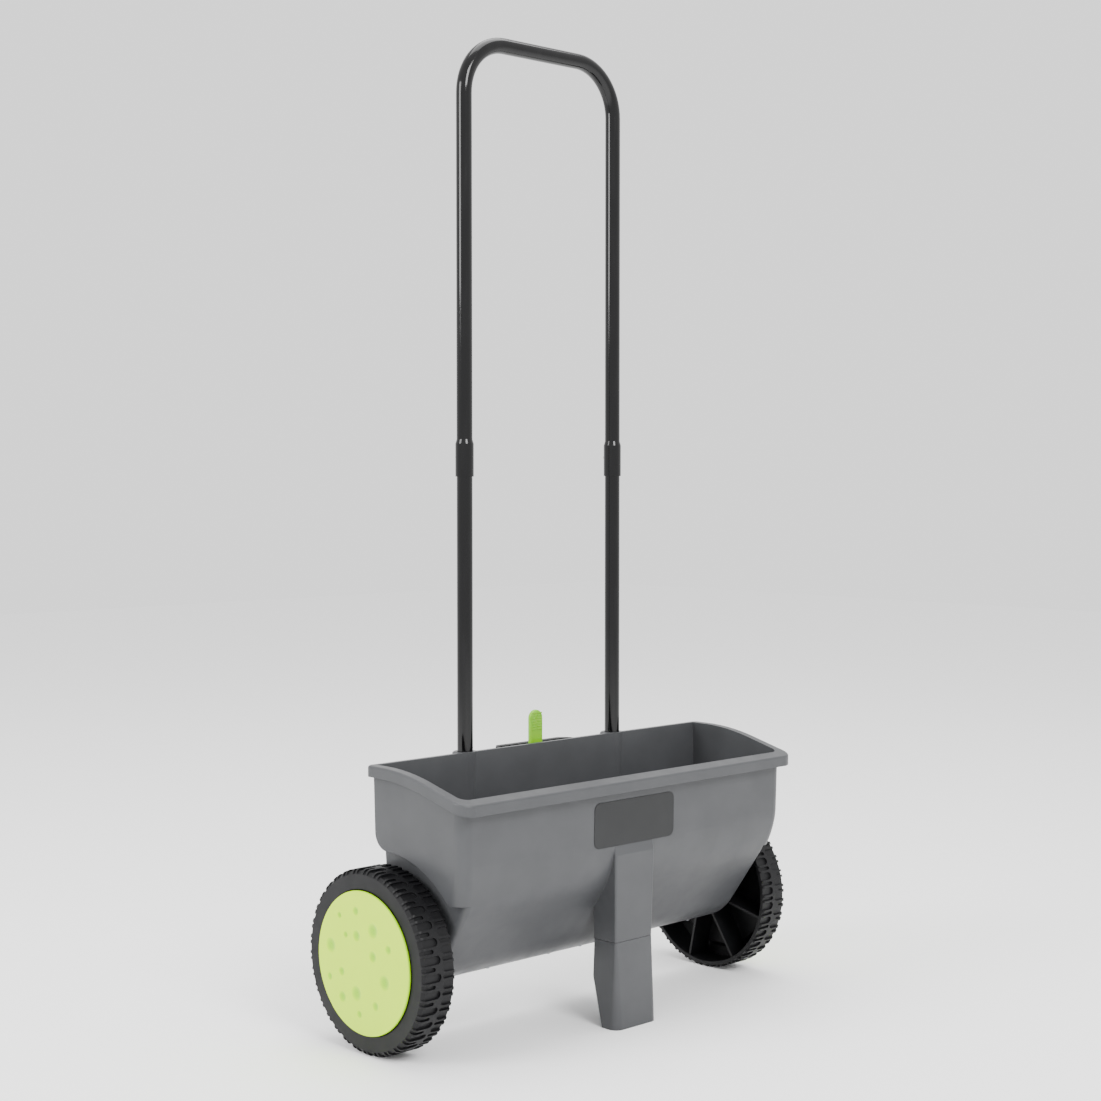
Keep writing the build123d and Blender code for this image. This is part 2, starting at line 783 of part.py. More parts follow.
def rail(low_x, high_x, wall_y, inward):
    """L-shaped rail against one wall of the channel, its lip under the shutter's edge."""
    leg_near = wall_y + inward * plate_fit
    leg_far = wall_y + inward * rail_leg
    lip_far = wall_y + inward * (rail_leg + rail_lip)
    lip_top_h = shutter_low_h - slide_clearance
    with BuildPart() as bar:
        with BuildSketch(across(low_x)) as section:
            with BuildLine():
                Polyline(
                    (leg_near, plate_low_h),
                    (leg_far, plate_low_h),
                    (leg_far, lip_top_h),
                    (lip_far, lip_top_h),
                    (lip_far, rail_low_h),
                    (leg_near, rail_low_h),
                    close=True,
                )
            make_face()
        extrude(section.sketch, amount=high_x - low_x)
        with BuildSketch(level(rail_low_h)) as holes:
            with Locations(*rail_screw_places):
                Circle(rail_screw_radius + static_clearance)
        extrude(holes.sketch, amount=rail_leg + rail_lip, mode=Mode.SUBTRACT)
    return bar.part


keep(rail(-plate_length / 2, plate_length / 2, channel_front_y, 1), "front_rail")
keep(rail(tab_gap, plate_length / 2, channel_back_y, -1), "rear_rail_left")
keep(rail(-plate_length / 2, -tab_gap, channel_back_y, -1), "rear_rail_right")

rail_screw_length = plate_top_h - rail_low_h + floor_thickness - 1.2
rail_screw = pan_screw(rail_screw_radius, rail_screw_length, rail_screw_radius + 0.9, 1.2)
rail_screw_planes = [
    Plane(origin=(x, axle_y + y, axle_z + rail_low_h), z_dir=(0, 0, -1)) for x, y in rail_screw_places
]
keep(screws_at(rail_screw, rail_screw_planes), "rail_screws")

with BuildPart() as shutter:
    with BuildSketch(level(shutter_low_h)) as shutter_plan:
        with Locations((0, discharge_y)):
            Rectangle(shutter_length, shutter_width)
        with Locations((0, (discharge_y + ear_y + ear_thickness) / 2)):
            Rectangle(tab_width, ear_y + ear_thickness - discharge_y)
        with Locations((-slide_travel, discharge_y)):
            with GridLocations(opening_pitch, 0, opening_count, 1):
                Rectangle(opening_length, opening_width, mode=Mode.SUBTRACT)
    extrude(shutter_plan.sketch, amount=shutter_thickness)
    ear_top_h = shutter_pin_h + ear_margin
    with BuildSketch(facing_back(ear_y)) as ear:
        with Locations((0, (shutter_low_h + ear_top_h) / 2)):
            Rectangle(tab_width, ear_top_h - shutter_low_h)
        fillet(ear.vertices().group_by(Axis.Y)[-1], ear_margin - 1)
    extrude(ear.sketch, amount=ear_thickness)
    with BuildSketch(facing_back(ear_y - 1)) as ear_hole:
        with Locations((0, shutter_pin_h)):
            Circle(pin_shank_radius + static_clearance)
    extrude(ear_hole.sketch, amount=ear_thickness + 2, mode=Mode.SUBTRACT)
keep(shutter.part, "shutter")

with BuildPart() as shutter_pin:
    with BuildSketch(Plane.XZ):
        with BuildLine():
            Polyline(
                (0, ear_y - rivet_head),
                (shutter_pin_radius, ear_y - rivet_head),
                (shutter_pin_radius, ear_y),
                (pin_shank_radius, ear_y),
                (pin_shank_radius, ear_y + ear_thickness),
                (shutter_pin_radius, ear_y + ear_thickness),
                (shutter_pin_radius, lever_back_y + 0.6),
                (0, lever_back_y + 0.6),
                close=True,
            )
        make_face()
    revolve(axis=Axis.Z)
pin_place = Plane(origin=(0, axle_y, axle_z + shutter_pin_h), z_dir=(0, 1, 0))
keep(pin_place.location * shutter_pin.part, "shutter_pin")

# Lever, its pivot and the guide that it passes through

lever_guide_h = guide_top_h - guide_thickness
flange_low_h = lever_pivot_h + lever_boss_radius + 24
flange_top_h = lever_guide_h - 26

with BuildPart() as lever:
    with BuildSketch(facing_back(lever_y)) as lever_shape:
        with BuildLine():
            Polyline(
                (-lever_width / 2, lever_top_h - lever_width / 2),
                (-lever_width / 2, flange_top_h),
                (-lever_neck_width / 2, flange_low_h),
                (-lever_neck_width / 2, shutter_pin_h - fork_reach),
                (lever_neck_width / 2, shutter_pin_h - fork_reach),
                (lever_neck_width / 2, flange_low_h),
                (lever_width / 2, flange_top_h),
                (lever_width / 2, lever_top_h - lever_width / 2),
                close=True,
            )
        make_face()
        with Locations((0, lever_top_h - lever_width / 2)):
            Circle(lever_width / 2)
        with Locations((0, lever_pivot_h)):
            Circle(lever_eye_radius)
    extrude(lever_shape.sketch, amount=lever_thickness)
    lever_rims = lever.edges().filter_by(
        lambda edge: edge.center().Z - axle_z > guide_top_h + 8 and abs(edge.tangent_at(0.5).Y) < 0.5
    )
    fillet(lever_rims, lever_round)
    # Stiffening flanges along both edges of the long middle stretch
    with BuildSketch(facing_back(lever_back_y)) as flanges:
        for sign in (-1, 1):
            with BuildLine():
                Polyline(
                    (sign * lever_width / 2, flange_top_h),
                    (sign * (lever_width / 2 - lever_flange_wall), flange_top_h),
                    (sign * (lever_neck_width / 2 - lever_flange_wall), flange_low_h),
                    (sign * lever_neck_width / 2, flange_low_h),
                    close=True,
                )
            make_face()
    extrude(flanges.sketch, amount=lever_flange)
    # Grip ribs in two columns on the face that looks forward
    with BuildSketch(facing_back(lever_y)) as grips:
        with Locations((0, lever_top_h - lever_width / 2 - grip_pitch)):
            with GridLocations(grip_length + grip_gap, grip_pitch, 2, grip_rows):
                Rectangle(grip_length, grip_height)
    extrude(grips.sketch, amount=-grip_proud)
    # Pivot eye and the fork that holds the shutter's pin
    with BuildSketch(facing_back(lever_y - 1)) as eye:
        with Locations((0, lever_pivot_h)):
            Circle(lever_bolt_radius + running_clearance)
        with Locations((0, shutter_pin_h - fork_reach)):
            Rectangle(2 * (shutter_pin_radius + slide_clearance), 2 * (fork_reach + fork_root))
    extrude(eye.sketch, amount=lever_thickness + 2, mode=Mode.SUBTRACT)
keep(lever.part, "lever")


def ring(outer, inner, y, thickness):
    """Flat washer around the lever bolt."""
    with BuildPart() as disc:
        with BuildSketch(facing_back(y)) as face:
            with Locations((0, lever_pivot_h)):
                Circle(outer)
                Circle(inner, mode=Mode.SUBTRACT)
        extrude(face.sketch, amount=thickness)
    return disc.part


washer_bore = lever_bolt_radius + static_clearance
lever_rings = [
    ring(lever_boss_radius - 1, washer_bore, lever_boss_end_y, lever_washer - face_play),
    ring(lever_boss_radius - 1, washer_bore, lever_back_y + face_play, lever_washer),
]
keep(Compound(children=lever_rings), "lever_washers")

bolt_head_y = lever_back_y + face_play + lever_washer
with BuildPart() as lever_bolt:
    with BuildSketch(facing_back(lever_boss_end_y - lever_bolt_reach)) as bolt_shank:
        with Locations((0, lever_pivot_h)):
            Circle(lever_bolt_radius)
    extrude(bolt_shank.sketch, amount=bolt_head_y - lever_boss_end_y + lever_bolt_reach)
    with BuildSketch(facing_back(bolt_head_y)) as bolt_head:
        with Locations((0, lever_pivot_h)):
            RegularPolygon(lever_bolt_radius * 1.9, 6)
    extrude(bolt_head.sketch, amount=lever_bolt_radius * 1.3)
keep(lever_bolt.part, "lever_bolt")

with BuildPart() as lever_guide:
    guide_back_y = lever_back_y + guide_back_reach
    with BuildSketch(level(lever_guide_h)) as guide_plan:
        with Locations((0, (guide_front_y + guide_back_y) / 2)):
            Rectangle(2 * guide_half, guide_back_y - guide_front_y)
        chamfer(guide_plan.vertices().group_by(Axis.Y)[-1], guide_back_reach)
        slot_low_y = lever_y - grip_proud - 0.4
        slot_high_y = lever_back_y + lever_flange / 2
        with Locations((0, (slot_low_y + slot_high_y) / 2)):
            Rectangle(2 * guide_slot_half, slot_high_y - slot_low_y, mode=Mode.SUBTRACT)
        with Locations((0, slot_high_y)):
            with GridLocations(2 * guide_slot_half / notch_count, 0, notch_count, 1):
                Circle(notch_radius, mode=Mode.SUBTRACT)
    extrude(guide_plan.sketch, amount=guide_thickness)
    with BuildSketch(facing_back(guide_front_y)) as guide_flange:
        with Locations((0, guide_top_h - guide_flange_drop / 2)):
            Rectangle(2 * guide_half, guide_flange_drop)
        fillet(guide_flange.vertices().group_by(Axis.Y)[0], guide_back_reach / 2)
        with Locations((guide_screw_x, guide_screw_h), (-guide_screw_x, guide_screw_h)):
            Circle(guide_screw_radius + static_clearance, mode=Mode.SUBTRACT)
    extrude(guide_flange.sketch, amount=wall)
keep(lever_guide.part, "lever_guide")

guide_screw = pan_screw(guide_screw_radius, wall + guide_screw_reach, guide_screw_radius + 1.6, 2.0)
guide_screw_planes = [
    Plane(origin=(x, axle_y + guide_front_y + wall, axle_z + guide_screw_h), z_dir=(0, 1, 0))
    for x in (-guide_screw_x, guide_screw_x)
]
keep(screws_at(guide_screw, guide_screw_planes), "guide_screws")

# Axle and what turns with it

axle_half = web_outer_x + face_clearance + clip_thickness + axle_end
drive_pin_x = -(hub_face_x + drive_pin_radius + 1.2)

with BuildPart() as axle:
    with BuildSketch(across(-axle_half)) as axle_face:
        Circle(axle_radius)
    extrude(axle_face.sketch, amount=2 * axle_half)
    chamfer(axle.edges().filter_by(GeomType.CIRCLE), 0.8)
    with BuildSketch(Plane(origin=(drive_pin_x, axle_y, axle_z - 2 * axle_radius))) as pin_hole:
        Circle(drive_pin_radius + static_clearance)
    extrude(pin_hole.sketch, amount=4 * axle_radius, mode=Mode.SUBTRACT)
    with BuildSketch(Plane(origin=(0, axle_y, axle_z - 2 * axle_radius))) as agitator_holes:
        with Locations((agitator_pin_x, 0), (-agitator_pin_x, 0)):
            Circle(agitator_pin_radius + static_clearance)
    extrude(agitator_holes.sketch, amount=4 * axle_radius, mode=Mode.SUBTRACT)
keep(axle.part, "axle")


def upright_pin(x, radius, length):
    """Round cross pin through the axle."""
    with BuildPart() as pin:
        with BuildSketch(Plane(origin=(x, axle_y, axle_z - length / 2))):
            Circle(radius)
        extrude(amount=length)
    return pin.part


keep(upright_pin(drive_pin_x, drive_pin_radius, drive_pin_length), "drive_pin")
pin_length = 2 * agitator_hub_radius - 0.4
agitator_pins = [upright_pin(x, agitator_pin_radius, pin_length) for x in (-agitator_pin_x, agitator_pin_x)]
keep(Compound(children=agitator_pins), "agitator_pins")

with BuildPart() as agitator:
    with BuildSketch(across(-agitator_half)) as agitator_section:
        Circle(agitator_hub_radius)
        with PolarLocations((agitator_radius + axle_radius) / 2, agitator_fins):
            Rectangle(agitator_radius - axle_radius, fin_thickness)
        Circle(axle_radius + static_clearance, mode=Mode.SUBTRACT)
    extrude(agitator_section.sketch, amount=2 * agitator_half)
    # Gaps in the fins, half a pitch from the openings, leave a paddle over each one
    fin_gap_count = opening_count + 1
    for index in range(fin_gap_count):
        gap_x = (index - opening_count / 2) * opening_pitch - fin_gap / 2
        with BuildSketch(across(gap_x)) as gap_section:
            Circle(agitator_radius + 1)
            Circle(agitator_hub_radius, mode=Mode.SUBTRACT)
        extrude(gap_section.sketch, amount=fin_gap, mode=Mode.SUBTRACT)
    with BuildSketch(Plane(origin=(0, axle_y, axle_z - agitator_radius))) as roll_holes:
        with Locations((agitator_pin_x, 0), (-agitator_pin_x, 0)):
            Circle(agitator_pin_radius + static_clearance)
    extrude(roll_holes.sketch, amount=2 * agitator_radius, mode=Mode.SUBTRACT)
keep(agitator.part, "agitator")


def collar(sign, inner_x, thickness, outer, inner):
    """Ring around the axle, from its inner face outwards on one side."""
    with BuildPart() as disc:
        with BuildSketch(across(sign * inner_x)) as face:
            Circle(outer)
            Circle(inner, mode=Mode.SUBTRACT)
        extrude(face.sketch, amount=sign * thickness)
    return disc.part


def bush(sign):
    """Flanged bush in one bearing boss."""
    with BuildPart() as part:
        add(collar(sign, boss_inner_x, boss_face_x - boss_inner_x, bush_radius, axle_radius + running_clearance))
        add(collar(sign, boss_face_x, bush_flange, bush_radius + 3, axle_radius + running_clearance))
    return part.part


for name, sign in (("left", 1), ("right", -1)):
    keep(bush(sign), f"axle_bush_{name}")

loose_bore = axle_radius + static_clearance
thrust_washers = [
    collar(sign, bush_face_x + face_clearance, washer_thickness, washer_radius, loose_bore) for sign in (-1, 1)
]
keep(Compound(children=thrust_washers), "thrust_washers")
axle_clips = [
    collar(sign, web_outer_x + face_clearance, clip_thickness, washer_radius, loose_bore) for sign in (-1, 1)
]
keep(Compound(children=axle_clips), "axle_clips")

# Wheels, made around their own Z axis with the distance along the axle as height

rib_reach = wheel_radius - tread_depth - rim_wall

with BuildPart() as wheel_rib:
    with BuildSketch(Plane.XZ):
        with BuildLine():
            Polyline(
                (hub_radius - 2, hub_face_x + 3),
                (rib_reach + 1, wheel_inner_x + 2),
                (rib_reach + 1, wheel_outer_x - sidewall - 0.5),
                (cap_radius, web_inner_x + 0.5),
                (hub_radius - 2, web_inner_x + 0.5),
                close=True,
            )
        make_face()
    extrude(amount=rib_thickness / 2, both=True)


def pocket(open_x, end_x, width, slope):
    """Tool for one slot of the tread, with a round end and a floor that falls at the open side."""
    inward = 1 if end_x > open_x else -1
    base = wheel_radius - tread_depth
    round_x = end_x - inward * width / 2
    with BuildPart() as tool:
        with BuildSketch(Plane(origin=(0, 0, 0), x_dir=(0, 0, 1), z_dir=(1, 0, 0))):
            with Locations(((open_x + round_x) / 2, 0)):
                Rectangle(abs(round_x - open_x), width)
            with Locations((round_x, 0)):
                Circle(width / 2)
        extrude(amount=wheel_radius + 2)
        with BuildSketch(Plane.XZ) as depth:
            with BuildLine():
                Polyline(
                    (base, end_x + inward),
                    (base, open_x + inward * (slope + 0.1)),
                    (base - slope, open_x),
                    (wheel_radius + 1, open_x),
                    (wheel_radius + 1, end_x + inward),
                    close=True,
                )
            make_face()
        extrude(depth.sketch, amount=width, both=True, mode=Mode.INTERSECT)
    return tool.part


def wheel(keyed):
    """Moulded wheel with a recessed web, a ribbed inner side and a slotted tread."""
    with BuildPart() as body:
        with BuildSketch(Plane.XZ):
            with BuildLine():
                FilletPolyline(
                    (axle_radius + running_clearance, hub_face_x),
                    (axle_radius + running_clearance, web_outer_x),
                    (cap_radius + cap_clearance, web_outer_x),
                    (cap_radius + cap_clearance, wheel_outer_x),
                    (wheel_radius, wheel_outer_x),
                    (wheel_radius, wheel_inner_x),
                    (rib_reach, wheel_inner_x),
                    (rib_reach, wheel_outer_x - sidewall),
                    (cap_radius + 4, wheel_outer_x - sidewall),
                    (cap_radius - 2, web_inner_x),
                    (hub_radius, web_inner_x),
                    (hub_radius - 1, hub_face_x),
                    radius=[0, 0, 0, 1.0, shoulder_radius, inner_shoulder, 1.0, 0, 0, 0, 3.0, 0],
                    close=True,
                )
            make_face()
        revolve(axis=Axis.Z)
        with PolarLocations(0, rib_count, start_angle=rib_angle):
            add(wheel_rib.part)
        # Long and short slots alternate; the inner band is turned by half a pitch
        step = 360 / tread_pitches
        outer_x = wheel_outer_x + 0.1
        inner_x = wheel_inner_x - 0.1
        with PolarLocations(0, tread_pitches):
            add(
                pocket(outer_x, wheel_outer_x - long_slot, long_slot_width, shoulder_slope),
                mode=Mode.SUBTRACT,
            )
            add(
                pocket(inner_x, wheel_inner_x + inner_slot, short_slot_width, 0.2),
                mode=Mode.SUBTRACT,
            )
        with PolarLocations(0, tread_pitches, start_angle=step / 2):
            add(
                pocket(outer_x, wheel_outer_x - short_slot, short_slot_width, shoulder_slope),
                mode=Mode.SUBTRACT,
            )
            add(
                pocket(inner_x, wheel_inner_x + inner_slot, long_slot_width, 0.2),
                mode=Mode.SUBTRACT,
            )
        if keyed:
            with BuildSketch(Plane.XY.offset(hub_face_x)):
                Rectangle(2 * (drive_pin_radius + slide_clearance), 2 * hub_radius + 2)
            extrude(amount=2 * drive_pin_radius + 2.6, mode=Mode.SUBTRACT)
    return body.part


with BuildPart() as cap:
    with BuildSketch(Plane.XY.offset(wheel_outer_x + cap_proud - cap_thickness)):
        Circle(cap_radius)
    extrude(amount=cap_thickness)
    fillet(cap.edges().group_by(Axis.Z)[-1], 1.4)
    with BuildSketch(Plane.XY.offset(web_outer_x)):
        Circle(cap_radius - 7)
        Circle(cap_radius - 7 - cap_thickness, mode=Mode.SUBTRACT)
    extrude(amount=cap_recess + cap_proud - cap_thickness / 2)
    for dimple_y, dimple_h, dimple_radius in dimples:
        ball_radius = (dimple_radius**2 + dimple_depth**2) / (2 * dimple_depth)
        ball_x = wheel_outer_x + cap_proud - dimple_depth + ball_radius
        with Locations((dimple_y, dimple_h, ball_x)):
            Sphere(ball_radius, mode=Mode.SUBTRACT)

drive_side = mirror(side.location * wheel(True), about=Plane.YZ)
keep(drive_side, "drive_wheel")
keep(side.location * wheel(False), "free_wheel")
keep(mirror(side.location * cap.part, about=Plane.YZ), "drive_wheel_cap")
keep(side.location * cap.part, "free_wheel_cap")

# Handle: two straight lower tubes and one bent upper tube with widened ends

collar_top_z = collar_low_z + collar_length
tube_plane = Plane(origin=(0, axle_y + tube_y, 0), x_dir=(1, 0, 0), z_dir=(0, -1, 0))
tube_bore = tube_radius - tube_wall
collar_inner = tube_radius + collar_fit
collar_outer = collar_inner + collar_wall
lower_top_z = collar_top_z - collar_taper - 2

with BuildPart() as button_tool:
    with BuildSketch(facing_back(tube_y)) as button_holes:
        with Locations((tube_x, button_h), (-tube_x, button_h)):
            Circle(button_radius + button_fit)
    extrude(button_holes.sketch, amount=2 * collar_outer)


def lower_tube(x):
    """Straight tube from the bottom of its socket up into the collar."""
    with BuildPart() as tube:
        with BuildSketch(level(socket_low_h)) as ring_face:
            with Locations((x, tube_y)):
                Circle(tube_radius)
                Circle(tube_bore, mode=Mode.SUBTRACT)
        extrude(ring_face.sketch, amount=lower_top_z - axle_z - socket_low_h)
        add(button_tool.part, mode=Mode.SUBTRACT)
        with BuildSketch(facing_back(tube_y)) as screw_hole:
            with Locations((-x, tube_screw_h)):
                Circle(tube_screw_radius + static_clearance)
        extrude(screw_hole.sketch, amount=2 * tube_radius, mode=Mode.SUBTRACT)
    return tube.part


for name, x in tube_sides.items():
    keep(lower_tube(x), f"lower_tube_{name}")

with BuildPart() as upper_handle:
    bar_z = handle_height - tube_radius
    with BuildLine(tube_plane) as handle_path:
        FilletPolyline(
            (-tube_x, collar_top_z),
            (-tube_x, bar_z),
            (tube_x, bar_z),
            (tube_x, collar_top_z),
            radius=bend_radius,
        )
    with BuildSketch(Plane(origin=handle_path.line @ 0, z_dir=handle_path.line % 0)) as tube_ring:
        Circle(tube_radius)
        Circle(tube_bore, mode=Mode.SUBTRACT)
    sweep()
    for x in tube_sides.values():
        with BuildSketch(tube_plane) as collar_profile:
            with BuildLine():
                Polyline(
                    (x + collar_inner, collar_low_z),
                    (x + collar_outer, collar_low_z),
                    (x + collar_outer, collar_top_z - collar_taper),
                    (x + tube_radius, collar_top_z),
                    (x + tube_bore, collar_top_z),
                    (x + collar_inner, collar_top_z - collar_taper - 1),
                    close=True,
                )
            make_face()
        revolve(collar_profile.sketch, axis=Axis((x, axle_y + tube_y, 0), (0, 0, 1)))
    add(button_tool.part, mode=Mode.SUBTRACT)
keep(upper_handle.part, "upper_handle")

tube_screw_length = tube_pad_proud + socket_wall + tube_wall + 4
tube_screw = pan_screw(tube_screw_radius, tube_screw_length, tube_screw_radius + 2, 2.2)
pad_y = tube_y + socket_radius + tube_pad_proud
tube_screw_planes = [
    Plane(origin=(x, axle_y + pad_y, axle_z + tube_screw_h), z_dir=(0, 1, 0)) for x in tube_sides.values()
]
keep(screws_at(tube_screw, tube_screw_planes), "tube_screws")

spring_near = button_foot - spring_thickness / 2
spring_far = -(tube_bore**2 - (spring_width / 2) ** 2) ** 0.5 + spring_thickness / 2 + 0.2

for name, x in tube_sides.items():
    with BuildPart() as snap_button:
        with BuildSketch(facing_back(tube_y + button_foot)) as button_face:
            with Locations((-x, button_h)):
                Circle(button_radius)
        extrude(button_face.sketch, amount=collar_outer + button_proud - button_foot)
        fillet(snap_button.faces().sort_by(Axis.Y)[-1].edges(), button_radius / 3)
    keep(snap_button.part, f"snap_button_{name}")
    with BuildPart() as button_spring:
        with BuildSketch(across(x)) as spring_shape:
            with BuildLine():
                FilletPolyline(
                    (tube_y + spring_near, button_h + button_radius),
                    (tube_y + spring_near, button_h - button_radius - 2),
                    (tube_y - 1.5, button_h - spring_length),
                    (tube_y + spring_far, button_h - button_radius - 2),
                    (tube_y + spring_far, button_h + button_radius),
                    radius=[2, 1.5, 2],
                )
            trace(line_width=spring_thickness)
        extrude(spring_shape.sketch, amount=spring_width / 2, both=True)
    keep(button_spring.part, f"button_spring_{name}")
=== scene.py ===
"""Looks of a lawn drop spreader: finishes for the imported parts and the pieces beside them."""

import json
import logging
import math
from dataclasses import dataclass
from enum import Enum
from typing import Any, Mapping, Optional, Sequence

import bmesh
import bpy
from mathutils import Matrix, Vector


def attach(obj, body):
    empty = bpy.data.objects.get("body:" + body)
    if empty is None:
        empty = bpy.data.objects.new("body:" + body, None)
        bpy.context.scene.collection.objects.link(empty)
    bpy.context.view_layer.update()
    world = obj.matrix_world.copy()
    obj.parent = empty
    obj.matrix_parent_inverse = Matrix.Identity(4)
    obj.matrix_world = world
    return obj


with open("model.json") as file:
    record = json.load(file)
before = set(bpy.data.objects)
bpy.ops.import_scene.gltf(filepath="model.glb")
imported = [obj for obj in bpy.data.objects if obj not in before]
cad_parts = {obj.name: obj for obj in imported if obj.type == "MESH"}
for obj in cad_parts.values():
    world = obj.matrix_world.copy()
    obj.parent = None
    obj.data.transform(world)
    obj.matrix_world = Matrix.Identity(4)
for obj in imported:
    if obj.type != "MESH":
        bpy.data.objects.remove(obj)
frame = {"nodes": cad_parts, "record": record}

log = logging.getLogger("spreader")

MM = 0.001
# Parts of a noise's range that a mottle, a rub, a sheen and handling marks use
MOTTLE_SPAN = (0.35, 0.65)
RUB_SPAN = (0.4, 0.62)
SHEEN_SPAN = (0.3, 0.7)
HANDLING_SPAN = (0.5, 0.72)
# Sizes of those noises in millimetres
RUB_MM = 6.0
SHEEN_MM = 18.0
HANDLING_MM = 9.0
# Cosines between the rounded and the flat normal where the paler edges, partly wear and partly
# painted highlight, begin and are full
EDGE_SPAN = (0.995, 0.80)
COAT_ROUGHNESS = 0.15
ALONG_TUBE = (1.0, 1.0, 0.12)
ALONG_BAR = (0.03, 1.0, 1.0)
ENAMEL_SPREAD = 0.05
METAL_EDGE_MM = 0.25
METAL_MARK_MM = 0.006
Socket = bpy.types.NodeSocket


# Helpers for node trees


def linear(hex_colour: str) -> tuple[float, float, float, float]:
    """Turn an sRGB hex colour into the linear colour that a shader takes.

    Args:
        hex_colour: Six hex digits after a hash sign.

    Returns:
        Linear red, green and blue, and an alpha of one.
    """
    channels = []
    for start in (1, 3, 5):
        value = int(hex_colour[start : start + 2], 16) / 255
        low = value <= 0.04045
        channels.append(value / 12.92 if low else ((value + 0.055) / 1.055) ** 2.4)
    return (channels[0], channels[1], channels[2], 1.0)


def per_metre(millimetres: float) -> float:
    """Scale of a pattern whose features are this many millimetres across."""
    return 1.0 / (millimetres * MM)


def add_node(
    tree: bpy.types.NodeTree,
    kind: str,
    inputs: Optional[Mapping[Any, Any]] = None,
    **settings: Any,
) -> bpy.types.Node:
    """Add a node, set its properties, and fill or link its inputs.

    Args:
        tree: Node tree that the node joins.
        kind: Blender's type name of the node.
        inputs: Input name or index, with a constant or an output to link from.
        **settings: Properties of the node itself.

    Returns:
        The new node.
    """
    node = tree.nodes.new(kind)
    for name, value in settings.items():
        setattr(node, name, value)
    for key, value in (inputs or {}).items():
        if isinstance(value, Socket):
            tree.links.new(value, node.inputs[key])
        else:
            node.inputs[key].default_value = value
    return node


def new_material(name: str) -> tuple[bpy.types.Material, bpy.types.NodeTree]:
    """Make an empty node material.

    Args:
        name: Name of the material.

    Returns:
        The material and its node tree, which holds only an output node.
    """
    material = bpy.data.materials.new(name)
    material.use_nodes = True
    tree = material.node_tree
    tree.nodes.clear()
    add_node(tree, "ShaderNodeOutputMaterial")
    return material, tree


def show_shader(tree: bpy.types.NodeTree, shader: bpy.types.Node) -> None:
    """Link a shader to the tree's output node."""
    output = next(node for node in tree.nodes if node.type == "OUTPUT_MATERIAL")
    tree.links.new(shader.outputs[0], output.inputs["Surface"])


def noise_value(
    tree: bpy.types.NodeTree, place: Socket, size_mm: float, detail: float = 2.0
) -> Socket:
    """Noise whose blotches are about a given size.

    Args:
        tree: Node tree to add to.
        place: Coordinates in metres.
        size_mm: Size of the blotches.
        detail: Octaves of finer noise on top.

    Returns:
        The noise, around one half.
    """
    noise = add_node(
        tree,
        "ShaderNodeTexNoise",
        {"Vector": place, "Scale": per_metre(size_mm), "Detail": detail},
    )
    return noise.outputs["Fac"]


def remap(
    tree: bpy.types.NodeTree, value: Socket, old: tuple[float, float], new: tuple[float, float]
) -> Socket:
    """Map a value from one range to another, held at both ends.

    Args:
        tree: Node tree to add to.
        value: Value to map.
        old: Range it comes in.
        new: Range it leaves in.

    Returns:
        The mapped value.
    """
    node = add_node(
        tree,
        "ShaderNodeMapRange",
        {
            "Value": value,
            "From Min": old[0],
            "From Max": old[1],
            "To Min": new[0],
            "To Max": new[1],
        },
        clamp=True,
    )
    return node.outputs["Result"]


def blend_colours(tree: bpy.types.NodeTree, amount: Socket, first: Any, second: Any) -> Socket:
    """Mix two colours.

    Args:
        tree: Node tree to add to.
        amount: Nought for the first colour, one for the second.
        first: Linear colour or colour output.
        second: Linear colour or colour output.

    Returns:
        The mixed colour.
    """
    mix = add_node(tree, "ShaderNodeMix", data_type="RGBA")
    for key, value in ((0, amount), (6, first), (7, second)):
        if isinstance(value, Socket):
            tree.links.new(value, mix.inputs[key])
        else:
            mix.inputs[key].default_value = value
    return mix.outputs[2]


def edge_mask(tree: bpy.types.NodeTree, radius_mm: float) -> tuple[Socket, Socket]:
    """Find the edges of a piece by rounding them in the shading.

    Args:
        tree: Node tree to add to.
        radius_mm: Width of the rounding.

    Returns:
        The rounded normal, and a mask that is one along the edges.
    """
    rounded = add_node(tree, "ShaderNodeBevel", {"Radius": radius_mm * MM}, samples=4)
    flat = add_node(tree, "ShaderNodeNewGeometry")
    closeness = add_node(
        tree,
        "ShaderNodeVectorMath",
        {0: rounded.outputs["Normal"], 1: flat.outputs["Normal"]},
        operation="DOT_PRODUCT",
    )
    mask = remap(tree, closeness.outputs["Value"], EDGE_SPAN, (0.0, 1.0))
    return rounded.outputs["Normal"], mask


# Finishes


